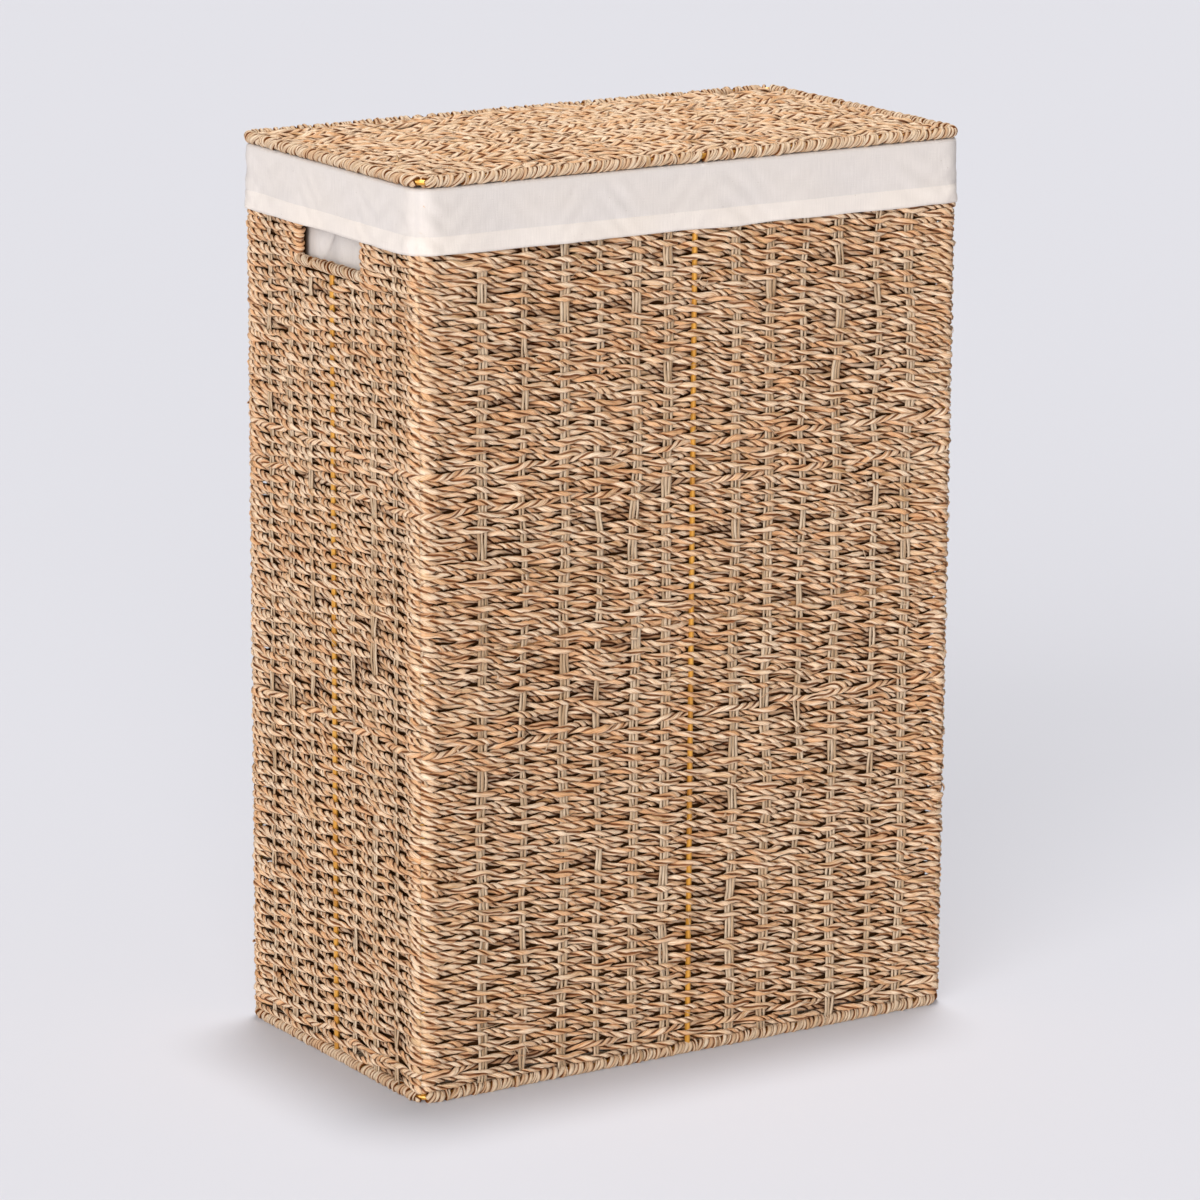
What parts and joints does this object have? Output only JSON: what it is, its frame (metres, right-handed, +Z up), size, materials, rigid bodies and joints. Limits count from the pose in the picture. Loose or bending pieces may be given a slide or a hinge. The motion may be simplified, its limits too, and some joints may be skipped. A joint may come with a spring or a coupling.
{
  "type": "lidded woven laundry hamper",
  "caption": "Tall rectangular seagrass hamper on a wire frame, with a hinged flat lid, handle holes in the short sides and a cotton liner folded over the rim.",
  "frame": {"origin": "middle of the footprint, on the floor", "axes": "+Z up; front (the long face away from the hinge) towards -Y; +X to the right of someone facing the front; short sides with the handle holes at -X and +X"},
  "size_m": [0.45, 0.246, 0.6496],
  "materials": {
    "seagrass_weave": "twisted two-ply seagrass cord, tan and straw with reddish brown, matt with a faint sheen on each strand",
    "seagrass_binding": "fine seagrass strands wrapped tightly, pale straw, matt",
    "frame_wire": "golden ochre lacquer, semi-gloss",
    "liner_cotton": "plain-woven cream cotton with a slight slub, matt"
  },
  "bodies": {
    "basket": {"base_ring_wire": "frame_wire", "mid_ring_wire": "frame_wire", "top_ring_wire": "frame_wire", "corner_post_front_left": "frame_wire", "corner_post_front_right": "frame_wire", "corner_post_back_left": "frame_wire", "corner_post_back_right": "frame_wire", "mid_post_front": "frame_wire", "mid_post_back": "frame_wire", "mid_post_left": "frame_wire", "mid_post_right": "frame_wire", "handle_wire_left": "frame_wire", "handle_wire_right": "frame_wire", "base_cross_wire": "frame_wire", "base_long_wire": "frame_wire", "weave_front": "seagrass_weave", "weave_right": "seagrass_weave", "weave_back": "seagrass_weave", "weave_left": "seagrass_weave", "weave_base": "seagrass_weave", "base_binding_front": "seagrass_binding", "base_binding_right": "seagrass_binding", "base_binding_back": "seagrass_binding", "base_binding_left": "seagrass_binding", "mid_binding_front": "seagrass_binding", "mid_binding_right": "seagrass_binding", "mid_binding_back": "seagrass_binding", "mid_binding_left": "seagrass_binding", "top_binding_front": "seagrass_binding", "top_binding_right": "seagrass_binding", "top_binding_back_right": "seagrass_binding", "top_binding_back_middle": "seagrass_binding", "top_binding_back_left": "seagrass_binding", "top_binding_left": "seagrass_binding", "handle_wrap_left": "seagrass_binding", "handle_wrap_right": "seagrass_binding", "hinge_loop_left": "seagrass_binding", "hinge_loop_right": "seagrass_binding", "liner_front": "liner_cotton", "liner_right": "liner_cotton", "liner_back": "liner_cotton", "liner_left": "liner_cotton", "liner_bottom": "liner_cotton", "cuff_front": "liner_cotton", "cuff_right": "liner_cotton", "cuff_back": "liner_cotton", "cuff_left": "liner_cotton"},
    "lid": {"lid_ring_wire": "frame_wire", "lid_cross_wire": "frame_wire", "lid_weave": "seagrass_weave", "lid_binding_front": "seagrass_binding", "lid_binding_right": "seagrass_binding", "lid_binding_back_right": "seagrass_binding", "lid_binding_back_middle": "seagrass_binding", "lid_binding_back_left": "seagrass_binding", "lid_binding_left": "seagrass_binding"}
  },
  "joints": [
    {"name": "lid_hinge", "type": "hinge", "parent": "basket", "child": "lid", "pos_m": [0, 0.119, 0.6435], "axis": [-1, 0, 0], "range_deg": [0, 180]}
  ]
}
